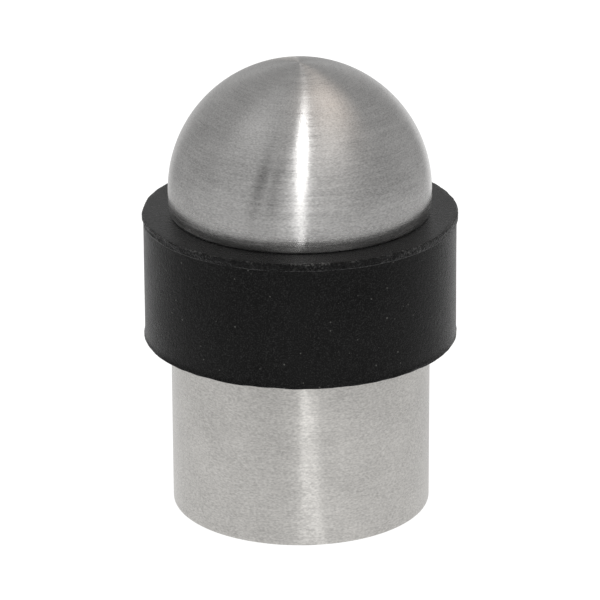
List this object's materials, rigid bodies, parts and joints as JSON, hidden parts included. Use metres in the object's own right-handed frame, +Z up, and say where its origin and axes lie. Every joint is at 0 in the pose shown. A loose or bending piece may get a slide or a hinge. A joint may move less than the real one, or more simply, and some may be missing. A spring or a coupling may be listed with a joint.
{
  "type": "floor door stop",
  "caption": "Floor-mounted post door stop with a domed top that unscrews, a rubber buffer ring, a tubular base and a concealed fixing screw.",
  "frame": {"origin": "centre of the base, on the floor plane", "axes": "+Z up along the post's axis; the part is round, so +X and +Y are any two square directions"},
  "size_m": [0.046, 0.046, 0.0674],
  "materials": {
    "brushed_steel": "satin stainless steel, brushed round the axis",
    "plated_steel": "turned steel, zinc plated",
    "screw_steel": "bright stainless steel",
    "spring_steel": "spring steel, oiled",
    "black_rubber": "moulded black rubber, matt",
    "seal_rubber": "soft black rubber"
  },
  "bodies": {
    "base": {"base_sleeve": "brushed_steel", "base_gasket": "seal_rubber", "base_disc": "plated_steel", "ring_seat": "plated_steel", "neck_tube": "plated_steel", "wave_washer": "spring_steel"},
    "buffer": {"buffer_ring": "black_rubber"},
    "dome_carrier": {"spigot_oring": "seal_rubber"},
    "dome": {"dome_shell": "brushed_steel", "cap_disc": "plated_steel", "threaded_spigot": "plated_steel"},
    "screw_carrier": {"cup_washer": "screw_steel"},
    "screw": {"fixing_screw": "screw_steel"}
  },
  "joints": [
    {"name": "buffer_spin", "type": "hinge", "parent": "base", "child": "buffer", "pos_m": [0, 0, 0.0355], "axis": [0, 0, 1], "continuous": true},
    {"name": "dome_rise", "type": "slide", "parent": "base", "child": "dome_carrier", "axis": [0, 0, 1], "range_m": [0, 0.009]},
    {"name": "dome_unscrew", "type": "hinge", "parent": "dome_carrier", "child": "dome", "pos_m": [0, 0, 0.0482], "axis": [0, 0, 1], "range_deg": [0, 1621]},
    {"name": "screw_sink", "type": "slide", "parent": "base", "child": "screw_carrier", "axis": [0, 0, 1], "range_m": [-0.03435, 0]},
    {"name": "screw_turn", "type": "hinge", "parent": "screw_carrier", "child": "screw", "pos_m": [0, 0, 0.0452], "axis": [0, 0, 1], "range_deg": [-4123, 0]}
  ],
  "couplings": [
    {"joint": "dome_unscrew", "follows": "dome_rise", "rad_per_m": 3141.6},
    {"joint": "screw_turn", "follows": "screw_sink", "rad_per_m": 2094.4}
  ]
}
